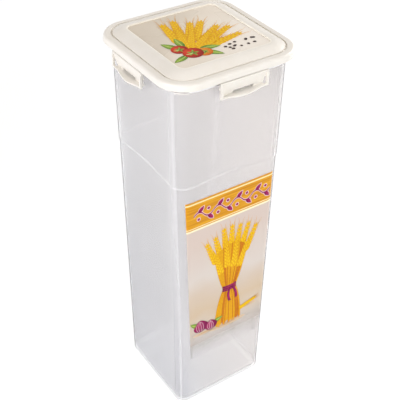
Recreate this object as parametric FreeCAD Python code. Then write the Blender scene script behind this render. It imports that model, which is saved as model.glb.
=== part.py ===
import FreeCAD, Part
import math
import os
from FreeCAD import Vector

# Tall square food canister of about 2 litres: a translucent tapered body, and a
# snap lid held by four hinged flaps that hook over catches on the body.
# Millimetres, +Z up, origin on the table under the middle of the base.
# The printed label is on the front, the -Y side.

# Overall sizes
TOTAL_HEIGHT = 300.0      # table to the raised edge round the lid's panel
BASE_WIDTH = 80.4         # body across its flats at the table
RIM_WIDTH = 87.7          # body across its flats at its rim
LID_OVERHANG = 6.7        # lid's skirt beyond the body's rim, on each side

# Body
BASE_CORNER = 8.2         # outside corner radius at the table
RIM_CORNER = 11.0         # outside corner radius at the rim
WALL = 1.6
FLOOR_TOP = 3.2
FLOOR_FILLET = 2.5
FOOT_FILLET = 1.8
FOOT_RECESS = 0.8         # hollow under the floor, inside the standing ring
FOOT_RING = 7.0           # width of the standing ring
STEP = 0.5                # how far the upper wall stands proud of the lower
STEP_HEIGHT = 217.0       # middle height of the wavy step
STEP_WAVE = 1.2           # half the rise of the wave
STEP_WAVES = 4            # one crest in the middle of each side
RIM_DROP = 6.5            # lid's top edge down to the body's rim
FLANGE_OUT = 2.8          # stiffening flange under the rim
FLANGE_THICK = 1.8
FLANGE_DROP = 2.4         # rim down to the top of the flange
FLANGE_ROUND = 5.0        # extra corner radius that keeps it under the lid
CATCH_WIDTH = 14.4
CATCH_THICK = 1.4

# Lid
SKIRT_DROP = 7.5          # lid's top edge down to the skirt's lower edge
SKIRT_DRAFT = 1.4         # width lost from the skirt's foot to its crest
SKIRT_WALL = 1.9
CREST_DROP = 2.8          # lid's top edge down to the skirt's crest
CREST_FILLET = 2.0
SKIRT_FILLET = 0.5        # lower edge of the skirt
LID_CORNER = 20.0
GROOVE_WIDTH = 1.3
GROOVE_DEPTH = 0.9
GROOVE_INSET = 5.75       # skirt's lower edge in to the middle of the groove
GROOVE_CORNER = 15.0
PANEL_INSET = 15.45       # skirt's lower edge in to the panel's raised edge
PANEL_CORNER = 5.5
PANEL_EDGE = 0.7          # width of that raised edge
PANEL_SINK = 0.7          # panel below its edge
PANEL_THICK = 1.9
CHANNEL_DROP = 4.4        # lid's top edge down to the roof of the gasket channel
PLUG_GAP = 0.5            # plug to the inside of the body's mouth
PLUG_WALL = 2.0
PLUG_DEPTH = 7.0          # how far the plug reaches below the rim
GASKET_WIDTH = 4.0
GASKET_SQUEEZE_GAP = 0.3

# Flaps
FLAP_WIDTH = 36.0
FLAP_FRONT_OFFSET = 1.2   # the front and back flaps sit this far right of the middle
FLAP_SIDE_OFFSET = 4.5    # the side flaps sit this far behind the middle
HINGE_RADIUS = 0.8
HINGE_GAP = 0.2           # hinge bead to the skirt above it
HINGE_INSET = 0.35        # hinge axis inside the skirt's lower edge
FLAP_DROP = 11.1          # skirt's lower edge to the bottom of the flap
FLAP_THICK = 1.5
FLAP_SLOPE = 2.1          # how far the panel leans in towards its foot
FLAP_RIB = 1.6            # width of the raised border at each end
FLAP_FACE = 0.45          # panel's face outside the hinge axis at its top
FLAP_PROUD = 1.1          # border and lip ends outside the hinge axis
BAR_DEPTH = 1.3           # end border where it stands free of the leaning panel
BAR_GAP = 1.0             # free border to the panel beside it
LIP_THICK = 1.2
LIP_BULGE = 3.0           # finger pull, greatest in the middle of the canister's side
LIP_FILLET = 0.4
SLOT_LIFT = 0.1           # slot's lower edge above the lip
SLOT_HEIGHT = 1.9
SLOT_SIDE_GAP = 0.5       # catch to the ends of its slot
CATCH_GAP = 0.3           # catch to the flap that passes it as the lid lifts

# Printed films
FILM = 0.2
LABEL_DROP = 13.3         # middle of the wavy step down to the label's top edge
LABEL_BOTTOM = 48.0
LABEL_LEFT_TOP = -36.5
LABEL_LEFT_BOTTOM = -30.5
LABEL_RIGHT = 36.0
PANEL_FILM_MARGIN = 0.4   # film edge to the panel's raised edge

# How far a cutter runs past a face, and a joined piece runs into its neighbour
OVERCUT = 1.0
OVERLAP = 0.4

# Widths and heights that follow
LID_WIDTH = RIM_WIDTH + 2 * LID_OVERHANG
GROOVE_ACROSS = LID_WIDTH - 2 * GROOVE_INSET
PANEL_WIDTH = LID_WIDTH - 2 * PANEL_INSET
RIM_Z = TOTAL_HEIGHT - RIM_DROP
SKIRT_Z = TOTAL_HEIGHT - SKIRT_DROP
CREST_Z = TOTAL_HEIGHT - CREST_DROP
CHANNEL_Z = TOTAL_HEIGHT - CHANNEL_DROP
PANEL_Z = TOTAL_HEIGHT - PANEL_SINK
PLUG_Z = RIM_Z - PLUG_DEPTH
HINGE_Z = SKIRT_Z - HINGE_GAP - HINGE_RADIUS
HINGE_OUT = LID_WIDTH / 2 - HINGE_INSET
FLAP_Z = SKIRT_Z - FLAP_DROP
LIP_Z = FLAP_Z + LIP_THICK
BAR_SHARE = ((BAR_DEPTH + FLAP_FACE - FLAP_PROUD) / FLAP_SLOPE) ** (2 / 3)
BAR_Z = HINGE_Z - (HINGE_Z - LIP_Z) * BAR_SHARE
SLOT_Z = LIP_Z + SLOT_LIFT
CATCH_Z = SLOT_Z + (SLOT_HEIGHT - CATCH_THICK) / 2
LABEL_TOP = STEP_HEIGHT - LABEL_DROP


def section(width, corner, z):
    """A rounded square wire at height z, always in the same edge order."""
    h = width / 2
    s = h - corner
    k = corner * math.sqrt(0.5)
    edges = []
    for turn in range(4):
        a = math.radians(90 * turn)
        c, n = math.cos(a), math.sin(a)

        def at(x, y):
            return Vector(x * c - y * n, x * n + y * c, z)

        edges.append(Part.makeLine(at(h, -s), at(h, s)))
        arc = Part.Arc(at(h, s), at(s + k, s + k), at(s, h))
        edges.append(arc.toShape())
    return Part.Wire(edges)


def frustum(bottom, top):
    """A solid between two sections given as (width, corner, z)."""
    return Part.makeLoft([section(*bottom), section(*top)], True, True)


def loops_at(shape, z):
    """The edges of a shape that lie wholly at height z."""
    found = []
    for edge in shape.Edges:
        box = edge.BoundBox
        if abs(box.ZMin - z) < 1e-4 and abs(box.ZMax - z) < 1e-4:
            found.append(edge)
    return found


def body_section(z, inset):
    """The body's outside at height z, moved in by inset."""
    t = z / RIM_Z
    width = BASE_WIDTH + (RIM_WIDTH - BASE_WIDTH) * t
    corner = BASE_CORNER + (RIM_CORNER - BASE_CORNER) * t
    return (width - 2 * inset, corner - inset, z)


def body_solid(z0, z1, inset):
    return frustum(body_section(z0, inset), body_section(z1, inset))


def half_width(z, inset=0.0):
    return body_section(z, inset)[0] / 2


def wave_ring(inset):
    """A closed curve along the body's wall that rises in the middle of each side."""
    outline = section(*body_section(STEP_HEIGHT, inset))
    points = []
    for p in outline.discretize(Number=24 * STEP_WAVES + 1)[:-1]:
        z = STEP_HEIGHT + STEP_WAVE * math.cos(STEP_WAVES * math.atan2(p.y, p.x))
        points.append(Vector(p.x, p.y, z))
    curve = Part.BSplineCurve()
    curve.interpolate(Points=points, PeriodicFlag=True)
    return curve.toShape()


def block(x0, x1, y0, y1, z0, z1):
    return Part.makeBox(x1 - x0, y1 - y0, z1 - z0, Vector(x0, y0, z0))


def on_side(shape, turns, shift):
    """Moves a front piece sideways by shift, then round to another side."""
    moved = shape.copy()
    moved.translate(Vector(shift, 0, 0))
    moved.rotate(Vector(0, 0, 0), Vector(0, 0, 1), 90 * turns)
    return moved


# Where each flap and its catch sit: quarter turns from the front, and the sideways shift
SIDES = {
    "front": (0, FLAP_FRONT_OFFSET),
    "right": (1, FLAP_SIDE_OFFSET),
    "back": (2, -FLAP_FRONT_OFFSET),
    "left": (3, -FLAP_SIDE_OFFSET),
}


def flap_out(z):
    """Outer face of the flap's panel at height z, on its gentle curve."""
    t = (HINGE_Z - z) / (HINGE_Z - LIP_Z)
    return HINGE_OUT + FLAP_FACE - FLAP_SLOPE * t ** 1.5


def make_catch():
    """The ledge a flap's slot hooks over, on the front side."""
    tip = flap_out(LIP_Z) - FLAP_THICK - CATCH_GAP
    root = half_width(CATCH_Z) - WALL / 2
    w = CATCH_WIDTH / 2
    ledge = block(-w, w, -tip, -root, CATCH_Z, CATCH_Z + CATCH_THICK)
    tips = [e for e in ledge.Edges if abs(e.BoundBox.YMax + tip) < 1e-4]
    return ledge.makeFillet(CATCH_THICK * 0.3, tips)


def make_body():
    """Shell with a wavy step, a standing ring, a rim flange and four catches."""
    lower = body_solid(0, RIM_Z, STEP)
    lower = lower.makeFillet(FOOT_FILLET, loops_at(lower, 0))
    ramp = Part.makeRuledSurface(wave_ring(3 * STEP), wave_ring(-3 * STEP))
    above = ramp.extrude(Vector(0, 0, TOTAL_HEIGHT))
    upper = body_solid(STEP_HEIGHT - 3 * STEP_WAVE, RIM_Z, 0)
    shell = lower.fuse(upper.common(above))

    flange_z = RIM_Z - FLANGE_DROP - FLANGE_THICK
    width, corner, z = body_section(flange_z, -FLANGE_OUT)
    corner = corner + FLANGE_ROUND
    flange = frustum((width, corner, z), (width, corner, z + FLANGE_THICK))
    shell = shell.fuse(flange)
    for turns, shift in SIDES.values():
        shell = shell.fuse(on_side(make_catch(), turns, shift))

    hollow = body_solid(FLOOR_TOP, RIM_Z + OVERCUT, WALL + STEP)
    hollow = hollow.makeFillet(FLOOR_FILLET, loops_at(hollow, FLOOR_TOP))
    shell = shell.cut(hollow)
    recess = body_solid(0, FOOT_RECESS, FOOT_RING)
    return shell.cut(recess)


def make_lid():
    """Domed lid: skirt, groove, sunk panel, and a plug inside the body's mouth."""
    top_width = LID_WIDTH - SKIRT_DRAFT
    cap = frustum((LID_WIDTH, LID_CORNER, SKIRT_Z), (top_width, LID_CORNER, CREST_Z))
    cap = cap.makeFillet(CREST_FILLET, loops_at(cap, CREST_Z))
    cap = cap.makeFillet(SKIRT_FILLET, loops_at(cap, SKIRT_Z))

    dome_width = GROOVE_ACROSS - GROOVE_WIDTH
    dome_corner = GROOVE_CORNER - GROOVE_WIDTH / 2
    foot = CREST_Z - GROOVE_DEPTH
    rings = []
    steps = 5
    for i in range(steps + 1):
        t = i / steps
        width = dome_width + (PANEL_WIDTH - dome_width) * t
        corner = dome_corner + (PANEL_CORNER - dome_corner) * t
        rise = math.sin(t * math.pi / 2)
        z = CREST_Z + (TOTAL_HEIGHT - CREST_Z) * rise
        rings.append(section(width, corner, z))
    dome = Part.makeLoft(rings, True, False)
    dome = dome.fuse(frustum((dome_width, dome_corner, foot), (dome_width, dome_corner, CREST_Z)))

    groove_width = GROOVE_ACROSS + GROOVE_WIDTH
    groove_corner = GROOVE_CORNER + GROOVE_WIDTH / 2
    groove = frustum((groove_width, groove_corner, foot), (groove_width, groove_corner, CREST_Z + OVERCUT))
    lid = cap.cut(groove).fuse(dome)

    sink_width = PANEL_WIDTH - 2 * PANEL_EDGE
    sink_corner = PANEL_CORNER - PANEL_EDGE
    sink = frustum((sink_width, sink_corner, PANEL_Z), (sink_width, sink_corner, TOTAL_HEIGHT + OVERCUT))
    lid = lid.cut(sink)

    skirt_in = LID_WIDTH - 2 * SKIRT_WALL
    skirt_corner = LID_CORNER - SKIRT_WALL
    roof = (skirt_in - SKIRT_DRAFT / 2, skirt_corner, CHANNEL_Z)
    lid = lid.cut(frustum((skirt_in, skirt_corner, SKIRT_Z - OVERCUT), roof))

    plug = plug_outside(0)
    lid = lid.fuse(frustum((plug[0], plug[1], PLUG_Z), (plug[0], plug[1], CHANNEL_Z + OVERLAP)))
    bore = plug_outside(PLUG_WALL)
    lid = lid.cut(frustum((bore[0], bore[1], PLUG_Z - OVERCUT), (bore[0], bore[1], PANEL_Z - PANEL_THICK)))
    return lid.removeSplitter()


def plug_outside(inset):
    """Width and corner of the plug, a gap inside the body's mouth, moved in by inset."""
    width, corner, z = body_section(PLUG_Z, WALL + STEP + PLUG_GAP + inset)
    return (width, corner)


def make_gasket():
    """Silicone ring in the lid's channel, round the root of the plug."""
    width, corner = plug_outside(0)
    low = RIM_Z + GASKET_SQUEEZE_GAP
    wide = (width + 2 * GASKET_WIDTH, corner + GASKET_WIDTH)
    ring = frustum((wide[0], wide[1], low), (wide[0], wide[1], CHANNEL_Z))
    return ring.cut(frustum((width, corner, low - OVERCUT), (width, corner, CHANNEL_Z + OVERCUT)))


def make_flap(shift):
    """A closed flap that will be moved sideways by shift, with its hinge bead and lip."""
    w = FLAP_WIDTH / 2
    ends = w - FLAP_RIB
    axis = Vector(-w, -HINGE_OUT, HINGE_Z)
    bead = Part.makeCylinder(HINGE_RADIUS, FLAP_WIDTH, axis, Vector(1, 0, 0))

    outer = []
    inner = []
    steps = 6
    for i in range(steps + 1):
        z = HINGE_Z + (LIP_Z - OVERLAP - HINGE_Z) * i / steps
        outer.append(Vector(-w, -flap_out(z), z))
        inner.append(Vector(-w, -flap_out(z) + FLAP_THICK, z))
    front = Part.BSplineCurve()
    front.interpolate(outer)
    back = Part.BSplineCurve()
    back.interpolate(inner)
    rim = [front.toShape(), Part.makeLine(outer[-1], inner[-1])]
    rim += [back.toShape(), Part.makeLine(inner[0], outer[0])]
    panel = Part.Face(Part.Wire(Part.__sortEdges__(rim))).extrude(Vector(FLAP_WIDTH, 0, 0))

    edge = HINGE_OUT + FLAP_PROUD
    deep = flap_out(LIP_Z) - FLAP_THICK / 2
    ribs = []
    for x in (-w, ends):
        corners = [
            Vector(x, -deep, LIP_Z - OVERLAP),
            Vector(x, -edge, LIP_Z - OVERLAP),
            Vector(x, -edge, HINGE_Z - 2 * HINGE_RADIUS),
            Vector(x, -HINGE_OUT, HINGE_Z),
        ]
        side = Part.Face(Part.makePolygon(corners + [corners[0]]))
        ribs.append(side.extrude(Vector(FLAP_RIB, 0, 0)))

    count = 12
    pull = []
    for i in range(count + 1):
        x = ends * (2 * i / count - 1)
        span = ends + shift if x > -shift else ends - shift
        swell = 0.5 + 0.5 * math.cos(math.pi * (x + shift) / span)
        pull.append(Vector(x, -edge - LIP_BULGE * swell, FLAP_Z))
    curve = Part.BSplineCurve()
    curve.interpolate(pull)
    back_y = -flap_out(LIP_Z) + FLAP_THICK
    outline = [
        Part.makeLine(Vector(-w, -edge, FLAP_Z), pull[0]),
        curve.toShape(),
        Part.makeLine(pull[-1], Vector(w, -edge, FLAP_Z)),
        Part.makeLine(Vector(w, -edge, FLAP_Z), Vector(w, back_y, FLAP_Z)),
        Part.makeLine(Vector(w, back_y, FLAP_Z), Vector(-w, back_y, FLAP_Z)),
        Part.makeLine(Vector(-w, back_y, FLAP_Z), Vector(-w, -edge, FLAP_Z)),
    ]
    lip = Part.Face(Part.Wire(outline)).extrude(Vector(0, 0, LIP_THICK))
    fronts = []
    for e in lip.Edges:
        level = e.BoundBox.ZLength < 1e-4
        if level and e.BoundBox.YMax < -edge + 1e-4:
            fronts.append(e)
    lip = lip.makeFillet(LIP_FILLET, fronts)

    flap = bead.fuse([panel, lip] + ribs)
    slot = CATCH_WIDTH / 2 + SLOT_SIDE_GAP
    front_y = -HINGE_OUT - FLAP_FACE
    cuts = [block(-slot, slot, front_y, -RIM_WIDTH / 2, SLOT_Z, SLOT_Z + SLOT_HEIGHT)]
    free_y = -edge + BAR_DEPTH
    for x0, x1 in ((-w - OVERCUT, -ends + BAR_GAP), (ends - BAR_GAP, w + OVERCUT)):
        cuts.append(block(x0, x1, free_y, -RIM_WIDTH / 2, FLAP_Z - OVERCUT, BAR_Z))
    return flap.cut(cuts).removeSplitter()


def make_label():
    """Printed film on the lower wall of the front side."""
    skin = body_solid(LABEL_BOTTOM, LABEL_TOP, STEP - FILM)
    skin = skin.cut(body_solid(LABEL_BOTTOM - OVERCUT, LABEL_TOP + OVERCUT, STEP))
    y = -RIM_WIDTH
    corners = [
        Vector(LABEL_LEFT_BOTTOM, y, LABEL_BOTTOM),
        Vector(LABEL_RIGHT, y, LABEL_BOTTOM),
        Vector(LABEL_RIGHT, y, LABEL_TOP),
        Vector(LABEL_LEFT_TOP, y, LABEL_TOP),
    ]
    shape = Part.Face(Part.makePolygon(corners + [corners[0]]))
    return skin.common(shape.extrude(Vector(0, RIM_WIDTH, 0)))


def make_panel_film():
    """Printed film on the lid's sunk panel."""
    width = PANEL_WIDTH - 2 * (PANEL_EDGE + PANEL_FILM_MARGIN)
    corner = PANEL_CORNER - PANEL_EDGE - PANEL_FILM_MARGIN
    return frustum((width, corner, PANEL_Z), (width, corner, PANEL_Z + FILM))


pieces = {
    "canister_body": make_body(),
    "lid": make_lid(),
    "lid_gasket": make_gasket(),
    "lid_panel_film": make_panel_film(),
    "body_label": make_label(),
}
for side, (turns, shift) in SIDES.items():
    pieces["flap_" + side] = on_side(make_flap(shift), turns, shift)

os.makedirs("parts", exist_ok=True)
for name, shape in pieces.items():
    if len(shape.Solids) == 1:
        shape = shape.Solids[0]
    shape.exportStep("parts/" + name + ".step")
    box = shape.BoundBox
    print(name, len(shape.Solids), shape.isValid(), round(shape.Volume / 1000, 2), "cm3",
          [round(v, 2) for v in (box.XMin, box.XMax, box.YMin, box.YMax, box.ZMin, box.ZMax)])
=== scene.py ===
# %% [markdown]
# # A tall food canister with a snap lid
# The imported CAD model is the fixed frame. Its solids are loaded once, in metres,
# and every finish and print in this lesson is put on them or laid against them.
# The canister could be modelled again here, but then two models would drift
# apart, so the frame is only dressed.

# %% Load the frame
import math
import random

import bmesh
import bpy
from mathutils import Matrix, Vector


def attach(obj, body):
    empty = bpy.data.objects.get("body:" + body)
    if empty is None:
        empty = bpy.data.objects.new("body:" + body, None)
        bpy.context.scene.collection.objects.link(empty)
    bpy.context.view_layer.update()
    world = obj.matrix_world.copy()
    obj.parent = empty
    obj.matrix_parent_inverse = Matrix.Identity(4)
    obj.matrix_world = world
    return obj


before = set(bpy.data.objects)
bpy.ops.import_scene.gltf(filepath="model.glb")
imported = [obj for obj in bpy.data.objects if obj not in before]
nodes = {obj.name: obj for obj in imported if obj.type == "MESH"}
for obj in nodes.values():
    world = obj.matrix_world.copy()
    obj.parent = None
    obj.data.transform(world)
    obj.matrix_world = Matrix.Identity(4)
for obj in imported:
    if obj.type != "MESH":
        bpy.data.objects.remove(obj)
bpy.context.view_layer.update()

print("nodes:", sorted(nodes))

# %% [markdown]
# Colours are written the way a designer reads them, as hex values in sRGB.
# Blender's shaders work in linear light, so one function converts them.
# A second function adds a shader node, sets its values and links its inputs,
# which keeps each material short enough to read in one go. The kinds of node
# that come up most get short names.


# %% Colour and node helpers
def tone(hex_value, alpha=1.0):
    """An sRGB hex colour as linear RGBA."""
    parts = [int(hex_value[i:i + 2], 16) / 255 for i in (1, 3, 5)]
    linear = [c / 12.92 if c <= 0.04045 else ((c + 0.055) / 1.055) ** 2.4 for c in parts]
    return (*linear, alpha)


def add(tree, kind, values=None, links=None, stops=None, **settings):
    """Adds one shader node with its settings, values, ramp stops and incoming links."""
    made = tree.nodes.new(kind)
    for key, value in settings.items():
        setattr(made, key, value)
    for key, value in (values or {}).items():
        made.inputs[key].default_value = value
    for key, source in (links or {}).items():
        tree.links.new(source, made.inputs[key])
    for k, (at, colour) in enumerate(stops or []):
        ramp = made.color_ramp.elements
        stop = ramp[k] if k < len(ramp) else ramp.new(at)
        stop.position = at
        stop.color = colour
    return made


def new_material(name):
    """An empty material: its tree, its shader and its object coordinates."""
    material = bpy.data.materials.new(name)
    material.use_nodes = True
    tree = material.node_tree
    tree.nodes.clear()
    output = add(tree, "ShaderNodeOutputMaterial")
    shader = add(tree, "ShaderNodeBsdfPrincipled")
    tree.links.new(shader.outputs["BSDF"], output.inputs["Surface"])
    place = add(tree, "ShaderNodeTexCoord")
    return material, tree, shader, place.outputs["Object"]


MATH, VECTOR, SPLIT = "ShaderNodeMath", "ShaderNodeVectorMath", "ShaderNodeSeparateXYZ"
RANGE, RAMP, MIX = "ShaderNodeMapRange", "ShaderNodeValToRGB", "ShaderNodeMix"
NOISE, BLEND = "ShaderNodeTexNoise", "ShaderNodeMixShader"
MM = 0.001
print("white is", [round(c, 3) for c in tone("#FFFFFF")])

# %% [markdown]
# The photograph looks down on the front corner from about 38 degrees, with the
# label side to the right. A camera could be set by eye, but its perspective was
# solved from the lid's and the body's edges, which gives a 75 mm lens on a
# 36 mm sensor at 63 cm. The small shift and roll put the canister where it
# stands in the frame.

# %% Camera
AIM = Vector((0, 0, 0.150))
AZIMUTH = math.radians(-33.773)
ELEVATION = math.radians(38.286)
ROLL = math.radians(0.608)
DISTANCE = 0.63068
SENSOR_MM, LENS_MM = 36, 75.407
SHIFT_X, SHIFT_Y = 0.0099, 0.0433
CLIP_START = 0.01

back = Vector((math.sin(AZIMUTH) * math.cos(ELEVATION),
               -math.cos(AZIMUTH) * math.cos(ELEVATION),
               math.sin(ELEVATION)))
camera = bpy.data.objects.new("camera", bpy.data.cameras.new("camera"))
bpy.context.collection.objects.link(camera)
camera.data.sensor_width = SENSOR_MM
camera.data.lens = LENS_MM
camera.data.shift_x = SHIFT_X
camera.data.shift_y = SHIFT_Y
camera.data.clip_start = CLIP_START
turn = back.to_track_quat("Z", "Y").to_matrix() @ Matrix.Rotation(ROLL, 3, "Z")
camera.matrix_world = Matrix.Translation(AIM + DISTANCE * back) @ turn.to_4x4()
bpy.context.scene.camera = camera
print("camera at", [round(v, 3) for v in camera.matrix_world.translation])

# %% [markdown]
# A catalogue picture like this is taken on a white paper sweep. More light
# would make the paper white and bleach the canister too, so the paper and the
# world are white only to the camera and in reflections and glass, and light
# the canister at a plain level. The floor keeps the canister's shadow.

# %% White sweep
WORLD_LIT, WORLD_SEEN = 0.30, 1.0  # strength on surfaces, and as seen
PAPER_SEEN = 0.70                  # how much of the paper's look is glow
GLOW_NEAR, GLOW_FAR = (0.4, 1.12), (1.6, 1.43)  # metres from the canister, and the glow there
FLOOR_HALF = 3.0
PAPER_ROUGHNESS = 0.9

scene = bpy.context.scene
scene.view_settings.view_transform = "Standard"


def white_where_seen(tree, lit, seen):
    """A strength that is `seen` for camera, mirror and glass rays, else `lit`."""
    path = add(tree, "ShaderNodeLightPath")
    either = add(tree, MATH, operation="MAXIMUM",
                 links={0: path.outputs["Is Camera Ray"], 1: path.outputs["Is Glossy Ray"]})
    any_of = add(tree, MATH, operation="MAXIMUM",
                 links={0: either.outputs[0], 1: path.outputs["Is Transmission Ray"]})
    strength = add(tree, RANGE, links={"Value": any_of.outputs[0]},
                   values={"To Min": lit, "To Max": seen})
    return strength.outputs["Result"]


world = bpy.data.worlds.new("sweep")
scene.world = world
world.use_nodes = True
tree = world.node_tree
tree.nodes.clear()
sky = add(tree, "ShaderNodeBackground", values={"Color": tone("#FFFFFF")},
          links={"Strength": white_where_seen(tree, WORLD_LIT, WORLD_SEEN)})
add(tree, "ShaderNodeOutputWorld", links={"Surface": sky.outputs[0]})

bm = bmesh.new()
bmesh.ops.create_grid(bm, x_segments=1, y_segments=1, size=FLOOR_HALF)
mesh = bpy.data.meshes.new("floor")
bm.to_mesh(mesh)
bm.free()
floor = bpy.data.objects.new("floor", mesh)
bpy.context.collection.objects.link(floor)

# Matt white paper, which glows a little more with distance so that no horizon shows.
paper, tree, shader, place = new_material("white_paper_sweep")
shader.inputs["Base Color"].default_value = tone("#F2F2F2")
shader.inputs["Roughness"].default_value = PAPER_ROUGHNESS
away = add(tree, VECTOR, operation="LENGTH", links={0: place})
rise = add(tree, RANGE, interpolation_type="SMOOTHSTEP", links={"Value": away.outputs["Value"]},
           values={"From Min": GLOW_NEAR[0], "From Max": GLOW_FAR[0],
                   "To Min": GLOW_NEAR[1], "To Max": GLOW_FAR[1]})
glow = add(tree, "ShaderNodeEmission", values={"Color": tone("#FFFFFF")},
           links={"Strength": rise.outputs["Result"]})
sweep = add(tree, BLEND, links={0: white_where_seen(tree, 0.0, PAPER_SEEN),
                                1: shader.outputs["BSDF"], 2: glow.outputs["Emission"]})
tree.links.new(sweep.outputs["Shader"], tree.nodes["Material Output"].inputs["Surface"])
floor.data.materials.append(paper)
print("floor is", 2 * FLOOR_HALF, "m wide")

# %% [markdown]
# The light comes from soft boxes. The skirts of the lid are its brightest part
# and its top is warmer and darker, so three lamps stand low round the canister
# and a weak warm one hangs above. Area lamps are used, because a point lamp or
# a sun would draw hard shadows under the flaps.

# %% Lamps
LAMPS = (  # name, place and size in metres, watts and colour
    ("left", (-1.2, -0.15, 0.68), 0.5, 9.6, "#FDFCFF"),
    ("front", (0.25, -1.3, 0.60), 0.7, 8.2, "#FFFFFF"),
    ("right", (1.25, 0.10, 0.75), 0.6, 10.0, "#FFFFFF"),
    ("top", (0.1, 0.2, 1.7), 1.0, 2.6, "#FFE0B4"),
)

for name, spot, size, power, colour in LAMPS:
    data = bpy.data.lights.new(name, "AREA")
    data.shape = "SQUARE"
    data.size = size
    data.energy = power
    data.color = tone(colour)[:3]
    lamp = bpy.data.objects.new(name, data)
    bpy.context.collection.objects.link(lamp)
    facing = (Vector(spot) - AIM).to_track_quat("Z", "Y")
    lamp.matrix_world = Matrix.Translation(spot) @ facing.to_matrix().to_4x4()

# %% [markdown]
# The body is natural polypropylene, injection moulded in a lightly polished
# tool. It is milky rather than clear: light goes through, but edges behind it
# show only faintly. Each of its four corners gets a painted highlight, a whiter
# ridge that turns round the corner with height. It is worked out from Object
# coordinates. Folding them into one quarter finds all four corners at once,
# and the painted highlight stays on the moulding from every side.

# %% Body plastic: its corners
CANISTER_HEIGHT = 300 * MM
CORNER_MIDDLE = 32.4 * MM                        # where each corner's arc is centred, in x and in y
RIDGE_LOW, RIDGE_HIGH = (40 * MM, 0.75), (250 * MM, 0.36)  # height, and the ridge's bearing in radians
RIDGE_CORE, RIDGE_END = 0.03, 0.20               # half widths of the ridge in radians

# Natural polypropylene: pale grey, softly see-through, whiter at the thick rim and along painted
# highlights.
clear_pp, tree, shader, place = new_material("natural_polypropylene_moulded")
spot = add(tree, SPLIT, links={0: place})
folded = add(tree, VECTOR, operation="ABSOLUTE", links={0: place})
from_arc = add(tree, VECTOR, operation="SUBTRACT", links={0: folded.outputs[0]},
               values={1: (CORNER_MIDDLE, CORNER_MIDDLE, 0)})
arc = add(tree, SPLIT, links={0: from_arc.outputs[0]})
bearing = add(tree, MATH, operation="ARCTAN2", links={0: arc.outputs["Y"], 1: arc.outputs["X"]})
ridge = add(tree, RANGE, links={"Value": spot.outputs["Z"]},
            values={"From Min": RIDGE_LOW[0], "From Max": RIDGE_HIGH[0],
                    "To Min": RIDGE_LOW[1], "To Max": RIDGE_HIGH[1]})
before = add(tree, MATH, operation="SUBTRACT",
             links={0: bearing.outputs[0], 1: ridge.outputs["Result"]})
off_ridge = add(tree, MATH, operation="ABSOLUTE", links={0: before.outputs[0]})
# Painted highlight: the plastic is drawn whiter along each corner's ridge, with its strength set by
# height.
corner_highlight = add(tree, RANGE, interpolation_type="SMOOTHSTEP", links={"Value": off_ridge.outputs[0]},
             values={"From Min": RIDGE_CORE, "From Max": RIDGE_END, "To Min": 1.0, "To Max": 0.0})
height = add(tree, RANGE, links={"Value": spot.outputs["Z"]}, values={"From Max": CANISTER_HEIGHT})
share = add(tree, RAMP, links={0: height.outputs["Result"]},
            stops=[(0.10, tone("#9A9A9A")), (0.75, tone("#8C8C8C")), (0.28, tone("#707070"))])
corner_highlight = add(tree, MATH, operation="MULTIPLY",
             links={0: corner_highlight.outputs["Result"], 1: share.outputs["Color"]})
print("ridge turns from", RIDGE_LOW[1], "to", RIDGE_HIGH[1], "rad")

# %% [markdown]
# On one side of each ridge the painted highlight tails off slowly, as a paler
# flank beside it in the upper part of the body. A second, wider ridge
# would be even on both sides, so the signed distance from the ridge is used,
# and only the side before it is kept.

# %% Body plastic: the corners' flanks
FLANK_FROM, FLANK_TO, FLANK_MOST = -1.25, -0.05, 0.22  # radians before the ridge, and its share of white
FLANK_STARTS, FLANK_FULL = 0.25, 0.60                  # shares of the height

# The flank is painted highlight too, paler before the ridge.
flank_highlight = add(tree, RANGE, interpolation_type="SMOOTHSTEP", links={"Value": before.outputs[0]},
            values={"From Min": FLANK_FROM, "From Max": FLANK_TO, "To Max": FLANK_MOST})
inside = add(tree, MATH, operation="LESS_THAN", links={0: before.outputs[0]}, values={1: 0.0})
flank_highlight = add(tree, MATH, operation="MULTIPLY",
            links={0: flank_highlight.outputs["Result"], 1: inside.outputs[0]})
upward = add(tree, RANGE, links={"Value": height.outputs["Result"]},
             values={"From Min": FLANK_STARTS, "From Max": FLANK_FULL})
flank_highlight = add(tree, MATH, operation="MULTIPLY",
            links={0: flank_highlight.outputs[0], 1: upward.outputs["Result"]})
corner_highlight = add(tree, MATH, operation="MAXIMUM", links={0: corner_highlight.outputs[0], 1: flank_highlight.outputs[0]})
print("flank starts at", round(FLANK_STARTS * CANISTER_HEIGHT, 3), "m")

# %% [markdown]
# The catches and the rim's flange are thick, so they are whiter. The wavy
# step round the wall is modelled in the solid, and a painted highlight along
# its edge draws a fine pale line, which softens from the left side to the
# right. The line repeats the solid's own wave, four waves to a turn. The
# catches and the flange are simply everything that stands out further than
# the wall does.

# %% Body plastic: its step and rim
STEP_Z, STEP_RISE, STEP_WAVES = 217 * MM, 1.2 * MM, 4
LINE_CORE, LINE_END = 0.1 * MM, 0.6 * MM         # half widths of the line
CRISP_LEFT, SOFT_RIGHT = (-30 * MM, 0.55), (12 * MM, 0.16)  # x, and the line's share of white there
RIM_STARTS, RIM_FULL = 44.2 * MM, 45.0 * MM      # just past the wall, and well on the flange

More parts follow.
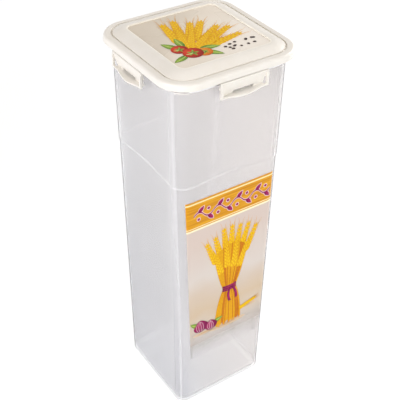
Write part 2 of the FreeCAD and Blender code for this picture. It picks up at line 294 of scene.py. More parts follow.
around = add(tree, MATH, operation="ARCTAN2", links={0: spot.outputs["Y"], 1: spot.outputs["X"]})
waves = add(tree, MATH, operation="MULTIPLY", links={0: around.outputs[0]}, values={1: STEP_WAVES})
waves = add(tree, MATH, operation="COSINE", links={0: waves.outputs[0]})
crest = add(tree, MATH, operation="MULTIPLY_ADD", links={0: waves.outputs[0]},
            values={1: STEP_RISE, 2: STEP_Z})
off_step = add(tree, MATH, operation="SUBTRACT", links={0: spot.outputs["Z"], 1: crest.outputs[0]})
off_step = add(tree, MATH, operation="ABSOLUTE", links={0: off_step.outputs[0]})
# Painted highlight: a fine white line along the step's edge, stronger on the left.
step_highlight = add(tree, RANGE, interpolation_type="SMOOTHSTEP", links={"Value": off_step.outputs[0]},
                values={"From Min": LINE_CORE, "From Max": LINE_END, "To Min": 1.0, "To Max": 0.0})
crisp = add(tree, RANGE, interpolation_type="SMOOTHSTEP", links={"Value": spot.outputs["X"]},
            values={"From Min": CRISP_LEFT[0], "From Max": SOFT_RIGHT[0],
                    "To Min": CRISP_LEFT[1], "To Max": SOFT_RIGHT[1]})
step_highlight = add(tree, MATH, operation="MULTIPLY",
                links={0: step_highlight.outputs["Result"], 1: crisp.outputs["Result"]})
# The corners' and the step's painted highlights together, then the thick rim.
lines = add(tree, MATH, operation="MAXIMUM", links={0: corner_highlight.outputs[0], 1: step_highlight.outputs[0]})
wide = add(tree, SPLIT, links={0: folded.outputs[0]})
wide = add(tree, MATH, operation="MAXIMUM", links={0: wide.outputs["X"], 1: wide.outputs["Y"]})
rim = add(tree, RANGE, links={"Value": wide.outputs[0]},
          values={"From Min": RIM_STARTS, "From Max": RIM_FULL})
milky_and_highlights = add(tree, MATH, operation="MAXIMUM", links={0: lines.outputs[0], 1: rim.outputs["Result"]})
print("step line at", STEP_Z, "m, waves:", STEP_WAVES)

# %% [markdown]
# Painted shade makes the plastic a little greyer towards the floor and the
# left. Thick, milky places and the painted highlights are white and let less light through.
# A subsurface shader could do that, but it hides what is behind the wall, so
# rough transmission over the plastic's own tone is used.

# %% Body plastic: its tone and haze
HALF_WIDTH = 42 * MM
HEIGHT_SHARE = 0.35                     # how much height counts beside left and right
THROUGH_THIN, THROUGH_THICK = 0.85, 0.15
HAZE_PATCH = 25 * MM
BLUR_LEAST, BLUR_MOST = 0.10, 0.14
NOISE_SPAN = {"From Min": 0.3, "From Max": 0.7}  # a noise seldom leaves this range
PP_IOR = 1.49

side = add(tree, RANGE, links={"Value": spot.outputs["X"]},
           values={"From Min": -HALF_WIDTH, "From Max": HALF_WIDTH})
flow = add(tree, MATH, operation="MULTIPLY_ADD", values={1: HEIGHT_SHARE},
           links={0: height.outputs["Result"], 2: side.outputs["Result"]})
# Painted shade: the tone ramp is greyer towards the floor and the left.
thick = add(tree, RAMP, links={0: flow.outputs[0]},
            stops=[(0.03, tone("#D6D6D9")), (1.00, tone("#EDEAE9")), (0.12, tone("#DCDCDF")),
                   (0.20, tone("#E4E4E6")), (0.33, tone("#E4E3E4")), (0.65, tone("#E8E6E6"))])
tint = add(tree, MIX, data_type="RGBA", values={7: tone("#FFFFFF")},
           links={0: milky_and_highlights.outputs[0], 6: thick.outputs["Color"]})
tree.links.new(tint.outputs[2], shader.inputs["Base Color"])
through = add(tree, RANGE, links={"Value": milky_and_highlights.outputs[0]},
              values={"To Min": THROUGH_THIN, "To Max": THROUGH_THICK})
tree.links.new(through.outputs["Result"], shader.inputs["Transmission Weight"])
# A polished tool still leaves a faint haze, in patches that blur a little more or less.
haze = add(tree, NOISE, links={"Vector": place}, values={"Scale": 1 / HAZE_PATCH, "Detail": 0.0})
blur = add(tree, RANGE, links={"Value": haze.outputs["Fac"]},
           values={**NOISE_SPAN, "To Min": BLUR_LEAST, "To Max": BLUR_MOST})
tree.links.new(blur.outputs["Result"], shader.inputs["Roughness"])
shader.inputs["IOR"].default_value = PP_IOR
print("haze patches of", HAZE_PATCH, "m")

# %% [markdown]
# Seen edge on, a wall is a longer way through, as the rim of a pane of glass
# is, so the body's outline is greyer. Layer Weight gives that for any view.
# A thin wall also lets lamps through it. Caustics would do that slowly and
# with noise, so only shadow rays meet a Transparent shader instead.

# %% Body plastic: its outline and shadow
EDGE_STARTS, EDGE_FULL, EDGE_MOST = 0.68, 0.86, 0.85  # Layer Weight's Facing, and the share of grey

edge_on = add(tree, "ShaderNodeLayerWeight", values={"Blend": 0.5})
longer = add(tree, RANGE, interpolation_type="SMOOTHSTEP", links={"Value": edge_on.outputs["Facing"]},
             values={"From Min": EDGE_STARTS, "From Max": EDGE_FULL, "To Max": EDGE_MOST})
grey = add(tree, "ShaderNodeBsdfDiffuse", values={"Color": tone("#7C7C80")})
wall = add(tree, BLEND, links={0: longer.outputs["Result"], 1: shader.outputs["BSDF"],
                               2: grey.outputs["BSDF"]})
path = add(tree, "ShaderNodeLightPath")
pane = add(tree, "ShaderNodeBsdfTransparent", values={"Color": tone("#F4F4F4")})
either = add(tree, BLEND, links={0: path.outputs["Is Shadow Ray"], 1: wall.outputs["Shader"],
                                 2: pane.outputs["BSDF"]})
tree.links.new(either.outputs["Shader"], tree.nodes["Material Output"].inputs["Surface"])
print("body nodes:", len(tree.nodes))

# %% [markdown]
# The lid and its flaps are the same plastic with a warm white pigment. A plain
# colour would look like paint, so the large faces get a slow change of tone,
# about 12 mm across. The panel's raised edge gets a painted highlight, a fine
# pale line. Its rounded square is found from the distance to four corner
# centres.

# %% Lid plastic: its tone
EDGE_CENTRE, EDGE_ROUND = 29.6 * MM, 5.15 * MM  # where the raised edge's corners centre, their radius
EDGE_CORE, EDGE_END = 0.3 * MM, 0.8 * MM        # half widths of the bright line
LID_TOP_FROM = 298 * MM                         # the line is only on the lid's top
TONE_PATCH = 12 * MM

# Warm white polypropylene: an ivory body colour under a satin sheen.
lid_pp, tree, shader, place = new_material("warm_white_polypropylene_moulded")
flow = add(tree, NOISE, links={"Vector": place}, values={"Scale": 1 / TONE_PATCH, "Detail": 2.0})
shade = add(tree, RAMP, links={0: flow.outputs["Fac"]},
            stops=[(0.3, tone("#F2EDE4")), (0.7, tone("#F5F1EA"))])
folded = add(tree, VECTOR, operation="ABSOLUTE", links={0: place})
# One metre taken from z leaves it below zero, so that only x and y count.
past = add(tree, VECTOR, operation="SUBTRACT", links={0: folded.outputs[0]},
           values={1: (EDGE_CENTRE, EDGE_CENTRE, 1.0)})
past = add(tree, VECTOR, operation="MAXIMUM", links={0: past.outputs[0]}, values={1: (0, 0, 0)})
reach = add(tree, VECTOR, operation="LENGTH", links={0: past.outputs[0]})
off_edge = add(tree, MATH, operation="SUBTRACT", links={0: reach.outputs["Value"]},
               values={1: EDGE_ROUND})
off_edge = add(tree, MATH, operation="ABSOLUTE", links={0: off_edge.outputs[0]})
# Painted highlight: a fine pale line along the panel's raised edge.
edge_highlight = add(tree, RANGE, interpolation_type="SMOOTHSTEP", links={"Value": off_edge.outputs[0]},
           values={"From Min": EDGE_CORE, "From Max": EDGE_END, "To Min": 1.0, "To Max": 0.0})
spot = add(tree, SPLIT, links={0: place})
on_top = add(tree, MATH, operation="GREATER_THAN", links={0: spot.outputs["Z"]},
             values={1: LID_TOP_FROM})
edge_highlight = add(tree, MATH, operation="MULTIPLY", links={0: edge_highlight.outputs["Result"], 1: on_top.outputs[0]})
shade = add(tree, MIX, data_type="RGBA", values={7: tone("#FFFAEF")},
            links={0: edge_highlight.outputs[0], 6: shade.outputs["Color"]})
tree.links.new(shade.outputs[2], shader.inputs["Base Color"])
print("raised edge is", round(2 * (EDGE_CENTRE + EDGE_ROUND), 4), "m across")

# %% [markdown]
# The lid's tool was spark eroded, which leaves a very fine satin grain. Real
# grain of 0.1 mm is too fine to show, so it is drawn 0.5 mm wide. A bump is
# enough for it, because nothing of it shows in the outline.

# %% Lid plastic: its satin grain
GRAIN = 0.5 * MM
GRAIN_DEPTH, GRAIN_STRENGTH = 0.05 * MM, 0.10
SATIN_LEAST, SATIN_MOST = 0.30, 0.38

satin = add(tree, RANGE, links={"Value": flow.outputs["Fac"]},
            values={**NOISE_SPAN, "To Min": SATIN_LEAST, "To Max": SATIN_MOST})
tree.links.new(satin.outputs["Result"], shader.inputs["Roughness"])
grain = add(tree, NOISE, links={"Vector": place}, values={"Scale": 1 / GRAIN, "Detail": 1.0})
bump = add(tree, "ShaderNodeBump", links={"Height": grain.outputs["Fac"]},
           values={"Strength": GRAIN_STRENGTH, "Distance": GRAIN_DEPTH})
tree.links.new(bump.outputs["Normal"], shader.inputs["Normal"])
shader.inputs["IOR"].default_value = PP_IOR
print("lid nodes:", len(tree.nodes))

# %% [markdown]
# The sealing ring is silicone, softer and duller than the plastic, with a
# cloudy bloom of about 5 mm. It sits under the lid and only shows when the lid
# is lifted, so an opaque milky tone is enough.

# %% Sealing ring material
BLOOM = 5 * MM
DULL_LEAST, DULL_MOST = 0.42, 0.58
SILICONE_IOR = 1.41

# Milky silicone: greyish white and nearly matt.
silicone, tree, shader, place = new_material("milky_silicone_moulded")
bloom = add(tree, NOISE, links={"Vector": place}, values={"Scale": 1 / BLOOM, "Detail": 3.0})
shade = add(tree, RAMP, links={0: bloom.outputs["Fac"]},
            stops=[(0.3, tone("#DFDFDB")), (0.7, tone("#E8E8E4"))])
tree.links.new(shade.outputs["Color"], shader.inputs["Base Color"])
dull = add(tree, RANGE, links={"Value": bloom.outputs["Fac"]},
           values={**NOISE_SPAN, "To Min": DULL_LEAST, "To Max": DULL_MOST})
tree.links.new(dull.outputs["Result"], shader.inputs["Roughness"])
shader.inputs["IOR"].default_value = SILICONE_IOR
print("silicone nodes:", len(tree.nodes))

# %% [markdown]
# The label is a thin film, printed and laid in the mould. Its beige ground
# warms towards a table top and then fades, so that the film is clear at its
# foot. A picture file could hold all that, but it follows height alone, with a
# little cloud in it, so a ramp over Object coordinates draws it at any size.

# %% Label film: its ground
LABEL_FOOT, BAND_FOOT, BAND_TOP = 48 * MM, 177.8 * MM, 203.7 * MM
CLOUD, CLOUD_SHARE = 26 * MM, 0.22

# Printed polypropylene film: flat ink colours under a soft gloss.
label_film, tree, shader, place = new_material("printed_polypropylene_film")
spot = add(tree, SPLIT, links={0: place})
up_ground = add(tree, RANGE, links={"Value": spot.outputs["Z"]},
                values={"From Min": LABEL_FOOT, "From Max": BAND_FOOT})
cloud = add(tree, NOISE, links={"Vector": place}, values={"Scale": 1 / CLOUD, "Detail": 1.5})
drift = add(tree, MATH, operation="MULTIPLY_ADD", values={1: CLOUD_SHARE},
            links={0: cloud.outputs["Fac"], 2: up_ground.outputs["Result"]})
ground = add(tree, RAMP, links={0: drift.outputs[0]},
             stops=[(0.00, tone("#D6D3D1")), (1.00, tone("#DCCBC1")), (0.30, tone("#D9CDC1")),
                    (0.46, tone("#D8C2A6")), (0.60, tone("#DAC9B8")), (0.74, tone("#DFD5CD"))])
print("label ground from", LABEL_FOOT, "to", BAND_FOOT, "m")

# %% [markdown]
# A golden band with fine strands runs across the label's top, edged with pale
# lines. Hundreds of modelled strands would be too fine to see, so they are a
# noise that is pulled out along the band, and the edge lines are stops of a
# ramp without blending.

# %% Label film: its band and varnish
STRAND_PULL = (25, 25, 620)  # noise cells per metre: 40 mm along the band, 1.6 mm across it
FADE_FOOT, FADE_TOP, FADE_LEAST = 50 * MM, 84 * MM, 0.05
VARNISH_ROUGHNESS, VARNISH_SHINE = 0.36, 0.25

strand_map = add(tree, "ShaderNodeMapping", links={"Vector": place}, values={"Scale": STRAND_PULL})
strands = add(tree, NOISE, links={"Vector": strand_map.outputs["Vector"]},
              values={"Scale": 1.0, "Detail": 2.0})
band = add(tree, RAMP, links={0: strands.outputs["Fac"]},
           stops=[(0.30, tone("#C97F02")), (0.72, tone("#EFB424")), (0.50, tone("#DF9A04"))])
up_band = add(tree, RANGE, links={"Value": spot.outputs["Z"]},
              values={"From Min": BAND_FOOT, "From Max": BAND_TOP})
clear_of_lines = tone("#FFF1BE", 0.0)
lines = add(tree, RAMP, links={0: up_band.outputs["Result"]},
            stops=[(0.000, tone("#FFF4D2")), (0.945, tone("#DE9A22")), (0.060, tone("#DE9A22")),
                   (0.090, tone("#FFEDB0")), (0.125, clear_of_lines), (0.895, tone("#FFEDB0"))])
lines.color_ramp.interpolation = "CONSTANT"
band = add(tree, MIX, data_type="RGBA",
           links={0: lines.outputs["Alpha"], 6: band.outputs["Color"], 7: lines.outputs["Color"]})
in_band = add(tree, MATH, operation="GREATER_THAN", links={0: spot.outputs["Z"]},
              values={1: BAND_FOOT})
print_colour = add(tree, MIX, data_type="RGBA",
                   links={0: in_band.outputs[0], 6: ground.outputs["Color"], 7: band.outputs[2]})
tree.links.new(print_colour.outputs[2], shader.inputs["Base Color"])
fade = add(tree, RANGE, interpolation_type="SMOOTHSTEP", links={"Value": spot.outputs["Z"]},
           values={"From Min": FADE_FOOT, "From Max": FADE_TOP, "To Min": FADE_LEAST})
tree.links.new(fade.outputs["Result"], shader.inputs["Alpha"])
shader.inputs["Roughness"].default_value = VARNISH_ROUGHNESS
shader.inputs["IOR"].default_value = PP_IOR
shader.inputs["Specular IOR Level"].default_value = VARNISH_SHINE
print("label nodes:", len(tree.nodes))

# %% [markdown]
# The film on the lid is varnished and a little glossier than the lid. Its
# ground has painted shade at the back left corner, in beige, and painted light
# at the front right, nearly white. A drift along x minus y runs from the one
# corner to the other, and a noise of 18 mm keeps it from looking ruled.

# %% Lid film
PAINTED_LIGHT_HALF = 60 * MM
MOTTLE, MOTTLE_SHARE = 18 * MM, 0.3
GLOSS_LEAST, GLOSS_MOST = 0.26, 0.32

# Varnished film: a creamy ground with a clear gloss.
lid_film, tree, shader, place = new_material("varnished_polypropylene_film")
flow = add(tree, NOISE, links={"Vector": place}, values={"Scale": 1 / MOTTLE, "Detail": 0.0})
spot = add(tree, SPLIT, links={0: place})
across = add(tree, MATH, operation="SUBTRACT", links={0: spot.outputs["X"], 1: spot.outputs["Y"]})
across = add(tree, RANGE, links={"Value": across.outputs[0]},
             values={"From Min": -PAINTED_LIGHT_HALF, "From Max": PAINTED_LIGHT_HALF})
drift = add(tree, MATH, operation="MULTIPLY_ADD", values={1: MOTTLE_SHARE},
            links={0: flow.outputs["Fac"], 2: across.outputs["Result"]})
# Painted shade to the back left and painted light to the front right.
shade = add(tree, RAMP, links={0: drift.outputs[0]},
            stops=[(0.10, tone("#D8CBB8")), (1.00, tone("#FBF3E8")),
                   (0.30, tone("#DCD0BE")), (0.60, tone("#EDE2D2"))])
tree.links.new(shade.outputs["Color"], shader.inputs["Base Color"])
gloss = add(tree, RANGE, links={"Value": flow.outputs["Fac"]},
            values={**NOISE_SPAN, "To Min": GLOSS_LEAST, "To Max": GLOSS_MOST})
tree.links.new(gloss.outputs["Result"], shader.inputs["Roughness"])
shader.inputs["IOR"].default_value = PP_IOR
print("lid film nodes:", len(tree.nodes))

# %% [markdown]
# Each solid of the frame now gets its finish. The lid and its four flaps leave
# the same tool in one shot, so they share one material. The solids could be
# copied and dressed apart, but they already have the right shape, so only
# their material slots are filled.

# %% Put the finishes on the CAD nodes
finishes = {
    "canister_body": clear_pp,
    "lid": lid_pp,
    "lid_gasket": silicone,
    "lid_panel_film": lid_film,
    "body_label": label_film,
    "flap_front": lid_pp,
    "flap_right": lid_pp,
    "flap_back": lid_pp,
    "flap_left": lid_pp,
}
for name, material in finishes.items():
    for held in nodes[name].material_slots:
        held.material = material
print("finished:", len(finishes))

# %% [markdown]
# The prints are flat inks on the films. An image would be the usual way, but
# drawn shapes stay sharp from near by. Each printed shape is a thin sheet that
# keeps its own place from 0 to 1 as a UV map, so that one ink can be paler in
# the middle of every grain or towards the lit side of every fruit. Offset
# printing mottles a little. Its dots are too fine to show, so a noise of
# 1.2 mm stands for them.

# %% Inks
INKS = {}
DOTS, DOTS_SHARE = 1.2 * MM, 0.15
INK_ROUGHNESS, INK_SHINE = 0.42, 0.12


def print_ink(name, pale, deep, centre=(0.5, 0.5), stretch=(1.0, 1.0), reach=0.5):
    """Offset ink on film, `pale` at `centre` of a printed shape and `deep` from `reach` on."""
    material, tree, shader, place = new_material(name + "_offset_ink")
    own = add(tree, "ShaderNodeUVMap", uv_map="UVMap")
    away = add(tree, VECTOR, operation="SUBTRACT", links={0: own.outputs["UV"]},
               values={1: (*centre, 0.0)})
    pulled = add(tree, VECTOR, operation="MULTIPLY", links={0: away.outputs["Vector"]},
                 values={1: (*stretch, 0.0)})
    far = add(tree, VECTOR, operation="LENGTH", links={0: pulled.outputs["Vector"]})
    share = add(tree, RANGE, links={"Value": far.outputs["Value"]}, values={"From Max": reach})
    dots = add(tree, NOISE, links={"Vector": place}, values={"Scale": 1 / DOTS, "Detail": 2.0})
    mottle = add(tree, RANGE, links={"Value": dots.outputs["Fac"]},
                 values={**NOISE_SPAN, "To Min": -DOTS_SHARE, "To Max": DOTS_SHARE})
    depth = add(tree, MATH, operation="ADD", use_clamp=True,
                links={0: share.outputs["Result"], 1: mottle.outputs["Result"]})
    tint = add(tree, MIX, data_type="RGBA", links={0: depth.outputs[0]},
               values={6: tone(pale), 7: tone(deep)})
    tree.links.new(tint.outputs[2], shader.inputs["Base Color"])
    shader.inputs["Roughness"].default_value = INK_ROUGHNESS
    shader.inputs["IOR"].default_value = PP_IOR
    shader.inputs["Specular IOR Level"].default_value = INK_SHINE
    INKS[name] = material


ACROSS = (1.0, 0.0)  # paler along the middle of a stroke
LIT = (0.36, 0.66)   # paler on the upper left of a fruit
print_ink("gold_grain", "#FFDF22", "#E08E00", reach=0.6)
print_ink("straw", "#F6BE16", "#D08202", stretch=ACROSS)
print_ink("amber_straw", "#E8920F", "#A9520A", stretch=ACROSS)
print_ink("bay_leaf", "#A9C552", "#55802A", centre=(0.5, 0.7), reach=0.6)
print_ink("leaf_rib", "#DCE79A", "#B9CF6A", stretch=ACROSS)
print_ink("tomato", "#E6482A", "#86100F", centre=LIT, reach=0.72)
print_ink("orange_tomato", "#FBB040", "#D0600C", centre=LIT, reach=0.70)
print_ink("pepper", "#6A5148", "#1D1213", centre=LIT, reach=0.45)
print_ink("plum", "#B82468", "#7A0F4A", centre=LIT, reach=0.62)
print_ink("pale_pink", "#FBE6EC", "#F3CBD9", stretch=ACROSS)
print_ink("table_shade", "#C9A57E", "#DFC8AC", reach=0.5)
print("inks:", list(INKS))

# %% [markdown]
# A print needs only a few marks: an oval that may run to a point, a stroke that
# may bow and thin out, and a leaf. Curves could be filled for them, but a circle
# or a grid, one unit across, takes its UVs from its own shape, and is then
# shaped and laid in millimetres on the film's own plane. Sheets lie two
# thousandths of a millimetre apart, in the order they are drawn, as inks do.

# %% Marks: ovals, strokes and leaves
LAYER = 0.002  # mm from one ink to the next


def new_print():
    """An empty drawing with a UV map for its inks."""
    bm = bmesh.new()
    bm.loops.layers.uv.new("UVMap")
    return bm


def ink_it(bm, verts, ink):
    """Gives a fresh shape its ink, and its own place as UV."""
    uv = bm.loops.layers.uv["UVMap"]
    for face in {face for vert in verts for face in vert.link_faces}:
        face.material_index = list(INKS).index(ink)
        for loop in face.loops:
            loop[uv].uv = loop.vert.co.x * 0.5 + 0.5, loop.vert.co.y * 0.5 + 0.5


def oval(bm, ink, middle, wide, tall, turn=0.0, lift=0.0, sides=12, point=0.0):
    """An oval of half sizes `wide` and `tall`, its upper half drawn in by `point`."""
    verts = bmesh.ops.create_circle(bm, cap_ends=True, segments=sides, radius=1)["verts"]
    ink_it(bm, verts, ink)
    for vert in verts:
        vert.co.x *= 1 - point * max(vert.co.y, 0)
    place = Matrix.Translation((*middle, lift)) @ Matrix.Rotation(turn, 4, "Z")
    bmesh.ops.transform(bm, matrix=place @ Matrix.Diagonal((wide, tall, 1, 1)), verts=verts)


def stroke(bm, ink, start, end, width, bow=0.0, thin=1.0, lift=0.0, steps=5):
    """A stroke from start to end that bows to its left and thins to `thin` of its width."""
    verts = bmesh.ops.create_grid(bm, x_segments=1, y_segments=steps, size=1)["verts"]
    ink_it(bm, verts, ink)
    start, end = Vector(start), Vector(end)
    left = Vector((start.y - end.y, end.x - start.x)).normalized()
    for vert in verts:
        t = (vert.co.y + 1) / 2
        off = bow * 4 * t * (1 - t) - vert.co.x * width / 2 * (1 + (thin - 1) * t)
        vert.co = (*(start.lerp(end, t) + left * off), lift)


def leaf(bm, ink, foot, length, width, turn, lift, curl=0.12, rib="leaf_rib"):
    """A pointed leaf from its foot, curled to one side, with a pale rib if one is named."""
    verts = bmesh.ops.create_grid(bm, x_segments=4, y_segments=8, size=1)["verts"]
    ink_it(bm, verts, ink)
    for vert in verts:
        t = (vert.co.y + 1) / 2
        half = width / 2 * math.sin(math.pi * t ** 0.85) ** 0.8
        vert.co = (vert.co.x * half + curl * length * t * t, t * length, 0)
    place = Matrix.Translation((*foot, lift)) @ Matrix.Rotation(turn, 4, "Z")
    bmesh.ops.transform(bm, matrix=place, verts=verts)
    if rib:
        tip = place @ Vector((curl * length * 0.85, 0.92 * length, 0))
        stroke(bm, rib, foot, tip.xy, width * 0.12, bow=curl * length * 0.23, thin=0.3,
               lift=lift + LAYER)


print("inks lie", LAYER, "mm apart")

# %% [markdown]
# Two motifs are used more than once. A wheat ear is paired grains up a short
# stem, each with a hair, and a row of grains over them. A tomato is a round
# with a five-pointed calyx and a stalk. Each could be drawn once and copied,
# but a seeded draw gives every ear its own small differences.


# %% Marks: wheat ears and tomatoes
def heading(turn):
    """The direction that a shape turned by `turn` points in."""
    return Vector((-math.sin(turn), math.cos(turn)))


def ear(bm, foot, length, turn, lift, draw, pairs=9, hair=9.0):
    """A wheat ear: paired grains up a short stem, each with a hair, and a row over them."""
    up = heading(turn)
    side_on = Vector((up.y, -up.x))
    for k in range(pairs):
        t = k / (pairs - 1)
        size = length / 24 * (1.05 - 0.4 * t)
        for side in (-1, 1):
            middle = Vector(foot) + up * length * (0.06 + 0.80 * t) + side_on * side * 1.6 * size
            lean = turn - side * (0.40 + draw.uniform(-0.06, 0.06))
            root = middle + heading(lean) * 1.8 * size
            way = heading(turn - side * draw.uniform(0.10, 0.24))
            tip = root + way * hair * draw.uniform(0.8, 1.1)
            stroke(bm, "straw", root, tip, 0.34, bow=side * 0.5, thin=0.3, lift=lift, steps=3)
            oval(bm, "gold_grain", middle, 1.35 * size, 2.6 * size, lean,
                 lift + LAYER * (1 + k % 2), 10, 0.6)
    for k in range(pairs):
        t = k / (pairs - 1)
        size = length / 24 * (1.05 - 0.4 * t)
        middle = Vector(foot) + up * length * (0.12 + 0.80 * t)
        oval(bm, "gold_grain", middle, 1.05 * size, 2.3 * size, turn,
             lift + LAYER * (3 + k % 2), 10, 0.6)


def tomato(bm, ink, middle, size, turn, lift):
    """A round fruit seen from above, with a five-pointed calyx and a short stalk."""
    oval(bm, ink, middle, size, size * 0.96, 0.0, lift, 24)
    for k in range(5):
        leaf(bm, "bay_leaf", middle, size * 0.62, size * 0.24, turn + k * math.tau / 5,
             lift + LAYER, rib=None)
    stroke(bm, "leaf_rib", middle, Vector(middle) + heading(turn + 0.6) * size * 0.7, size * 0.13,
           bow=size * 0.08, lift=lift + 2 * LAYER)


EAR_LAYERS, TOMATO_LAYERS, LEAF_LAYERS = 6, 4, 2  # how many layers of ink each of them takes up
print("layers of an ear:", EAR_LAYERS)

# %% [markdown]
# A finished drawing is turned to face outwards, laid on its film by one matrix
# and given its thickness, which keeps it a closed shape of its own. A Solidify
# modifier does the last part. The print then rides on the body that carries
# the film, so it moves with it at every pose.

# %% Laying a print on its film
INK_THICKNESS = 0.7 * LAYER * MM


def lay_print(bm, name, plane, body):
    """Turns the sheets to face out, gives them their thickness and lays them on a film."""
    for face in bm.faces:
        face.normal_update()
        if face.normal.z < 0:
            face.normal_flip()
    bmesh.ops.transform(bm, matrix=plane, verts=bm.verts)
    mesh = bpy.data.meshes.new(name)
    bm.to_mesh(mesh)
    bm.free()
    made = bpy.data.objects.new(name, mesh)
    bpy.context.collection.objects.link(made)
    for material in INKS.values():
        mesh.materials.append(material)
    thick = made.modifiers.new("ink_thickness", "SOLIDIFY")
    thick.thickness = INK_THICKNESS
    thick.offset = 1.0
    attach(made, body)
    print(name, "faces:", len(mesh.polygons))


print("ink is", INK_THICKNESS, "m thick")

# %% [markdown]
# The lid's picture is a harvest bouquet: a fan of wheat ears from one corner of
# the panel, with tomatoes and bay leaves over its foot and peppercorns beside
# it. It is drawn in millimetres on the lid's own plane, seen from above, with
# the back ears first, as a printer lays down inks.

# %% Picture on the lid
LID_FILM_TOP = 299.5
FAN_FOOT = Vector((-19.0, -20.0))
LEAVES = (((-20, -12), 15, 38), ((-17, -11), 14, 4), ((-11, -20), 15, -128),
          ((-10, -17), 14, -96), ((-21, -20), 13, 118))  # foot, length, degrees
TOMATOES = (((-21.5, -11.5), 5.6, "tomato"), ((-9.5, -22.0), 5.4, "orange_tomato"),
            ((-16.5, -19.5), 6.8, "tomato"))
PEPPERCORNS = 14

draw = random.Random(7)
bm = new_print()
layer = 1
fan = [(-43 + 12 * (k - 3), 17 + 3 * (k % 2), 30) for k in range(7)]  # degrees, stem, length
fan += [(-45 + 17 * (k - 1.5), 8 + 2 * (k % 2), 24) for k in range(4)]
for degrees, stem, length in fan:
    way = math.radians(degrees + draw.uniform(-2, 2))
    foot = FAN_FOOT + heading(way) * stem
    stroke(bm, "amber_straw", FAN_FOOT, foot + heading(way) * 4, 0.9,
           bow=draw.uniform(-0.6, 0.6), lift=layer * LAYER)
    ear(bm, foot, length, way, (layer + 1) * LAYER, draw, pairs=8)
    layer += EAR_LAYERS
for foot, length, degrees in LEAVES:
    leaf(bm, "bay_leaf", foot, length, length * 0.38, math.radians(degrees), layer * LAYER)
    layer += LEAF_LAYERS
for middle, size, ink in TOMATOES:
    tomato(bm, ink, middle, size, draw.uniform(0, 1), layer * LAYER)
    layer += TOMATO_LAYERS
for k in range(PEPPERCORNS):
    middle = (draw.uniform(4, 29), draw.uniform(-30, -21))
    oval(bm, "pepper", middle, draw.uniform(0.9, 1.3), draw.uniform(0.9, 1.2), 0.0,
         (layer + k) * LAYER, 10)
lid_plane = Matrix.Translation((0, 0, LID_FILM_TOP * MM)) @ Matrix.Scale(MM, 4)
lay_print(bm, "lid_harvest_print", lid_plane, "lid")

# %% [markdown]
# The label's picture stands on the film's front, which leans out with the
# body's taper. It could be drawn flat and turned, but one matrix takes the
# drawing's width, height and lift to x, z and outwards, with that lean in it.
# A leafy scroll runs along the band. It is drawn twice, first a little wider in
# a pale ink, which leaves a fine edge round the darker one.

# %% Picture on the label: the scroll
FILM_OUT, TAPER = 39.9, 3.65 / 293.5  # half width of the film at the floor, and its growth per mm
SCROLL_Z, SCROLL_START, SCROLL_PITCH, SCROLL_TURNS = 190.6, -30.0, 8, 8

label_plane = Matrix(((MM, 0, 0, 0), (0, -MM * TAPER, -MM, -MM * FILM_OUT),
                      (0, MM, 0, 0), (0, 0, 0, 1)))
draw = random.Random(11)
bm = new_print()


def scroll(bm, ink, spare, lift):
    """A leafy scroll along the band, every mark widened by `spare`."""
    for k in range(SCROLL_TURNS):
        start, side = SCROLL_START + SCROLL_PITCH * k, 1 - 2 * (k % 2)
        stroke(bm, ink, (start, SCROLL_Z), (start + SCROLL_PITCH, SCROLL_Z), 1.1 + spare,
               bow=2.6 * side, lift=lift, steps=8)
        foot = Vector((start + 3.4 - spare * 0.3, SCROLL_Z + side * (2.2 - spare * 0.3)))
        way = math.radians(-52 if side > 0 else -128)
        leaf(bm, ink, foot, 6.6 + spare, 3.2 + spare, way, lift + LAYER, curl=-0.1 * side, rib=None)
        berry = 1.15 + spare / 2
        oval(bm, ink, (start + 4.0, SCROLL_Z - side * 3.4), berry, berry, 0, lift + 2 * LAYER)


scroll(bm, "pale_pink", 1.0, LAYER)
scroll(bm, "plum", 0.0, 5 * LAYER)
print("scroll faces:", len(bm.faces))

# %% [markdown]
# A tied sheaf stands in the middle of the label. Straws run from the table to
# the tie and from the tie to the ears, each as two bowed strokes, and a few
# ears lie over them. Drawing straw by straw gives the uneven golds of a real
# sheaf, which one shape with a pattern would not.

# %% Picture on the label: the sheaf
SHEAF, TIE, GROUND = 3.0, 110.0, 72.0  # x of the sheaf, heights of its tie and of the table
SHADOWS = (((SHEAF, GROUND - 1), 17), ((-18, 72.5), 11), ((20, 81), 10))  # middle, half width
BACK_EARS, STRAWS, FRONT_EARS = 7, 29, 4

for middle, wide in SHADOWS:
    oval(bm, "table_shade", middle, wide, wide * 0.16, lift=LAYER, sides=20)
layer = 2
for k in range(BACK_EARS):
    lean = (k - 3) / 3
    foot = Vector((SHEAF + 13 * lean, 140 + 6 * (1 - lean * lean) + draw.uniform(-1.5, 1.5)))
    ear(bm, foot, 25, math.radians(-22 * lean), layer * LAYER, draw, pairs=7, hair=7.0)
    layer += EAR_LAYERS
for k in range(STRAWS):
    lean = (k - 14) / 14
    waist = Vector((SHEAF + 5.2 * lean, TIE))
    ink = "amber_straw" if draw.random() < 0.35 + 0.35 * lean else "straw"
    low = (SHEAF + 11.5 * lean, GROUND + draw.uniform(-1.5, 2.5))
    high = (SHEAF + 13.0 * lean, 147 + 6 * (1 - lean * lean))
    stroke(bm, ink, low, waist, 1.25, bow=-1.6 * lean, lift=layer * LAYER)
    stroke(bm, ink, waist, high, 1.25, bow=-1.6 * lean, lift=layer * LAYER)
    layer += 1
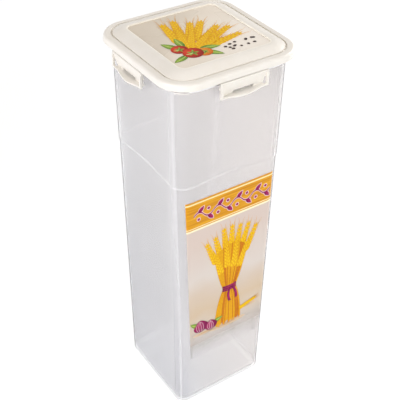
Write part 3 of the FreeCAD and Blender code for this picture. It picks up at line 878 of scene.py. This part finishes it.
for k in range(FRONT_EARS):
    lean = (k - 1.5) / 1.5
    foot = Vector((SHEAF + 8 * lean, 127 + 4 * (1 - lean * lean) + draw.uniform(-1.5, 1.5)))
    ear(bm, foot, 24, math.radians(-16 * lean), layer * LAYER, draw, pairs=7, hair=6.0)
    layer += EAR_LAYERS
for rise in (-1.9, 0.0, 1.9):
    stroke(bm, "plum", (SHEAF - 6.2, TIE + rise), (SHEAF + 6.2, TIE + rise), 1.7, bow=-0.9,
           lift=layer * LAYER)
layer += 1
stroke(bm, "plum", (SHEAF + 2, TIE), (SHEAF + 7, TIE - 14), 1.8, bow=1.4, thin=1.4,
       lift=layer * LAYER)
stroke(bm, "plum", (SHEAF + 1, TIE), (SHEAF + 1, TIE - 15), 1.8, bow=-1.6, thin=1.4,
       lift=(layer + 1) * LAYER)
layer += 3
print("sheaf drawn, layers so far:", layer)

# %% [markdown]
# Two red onions with leaves and a loose ear lie on the table beside the sheaf.
# An onion is a pointed oval with pale lines that run from its root to its tip.
# They are the last marks, so the drawing is then laid on the label and rides on
# the canister.

# %% Picture on the label: onions and a loose ear
ONION_LEAVES = (((-21, 80), 62), ((-14, 77), -62))         # foot, degrees
ONIONS = (((-22.0, 81.0), 6.6), ((-12.5, 78.0), 5.6))      # middle, half size
ONION_TURN = math.radians(10)
ONION_LINES = (-0.62, -0.25, 0.12, 0.48)

for foot, degrees in ONION_LEAVES:
    leaf(bm, "bay_leaf", foot, 13, 4.6, math.radians(degrees), layer * LAYER)
    layer += LEAF_LAYERS
for middle, size in ONIONS:
    oval(bm, "plum", middle, size, size * 0.95, ONION_TURN, layer * LAYER, 24, 0.45)
    for lean in ONION_LINES:
        top = Vector(middle) + heading(ONION_TURN) * size * 0.86
        low = Vector(middle) + Vector((lean * size * 0.5, -size * 0.84))
        stroke(bm, "pale_pink", low, top, 0.35, bow=-lean * size * 0.62, thin=0.6,
               lift=(layer + 1) * LAYER, steps=6)
    layer += 3
stroke(bm, "amber_straw", (10, 80), (17, 82), 1.0, bow=0.4, lift=layer * LAYER)
ear(bm, (14, 81.5), 17, math.radians(-74), (layer + 1) * LAYER, draw, hair=5.0)
lay_print(bm, "label_harvest_print", label_plane, "canister")
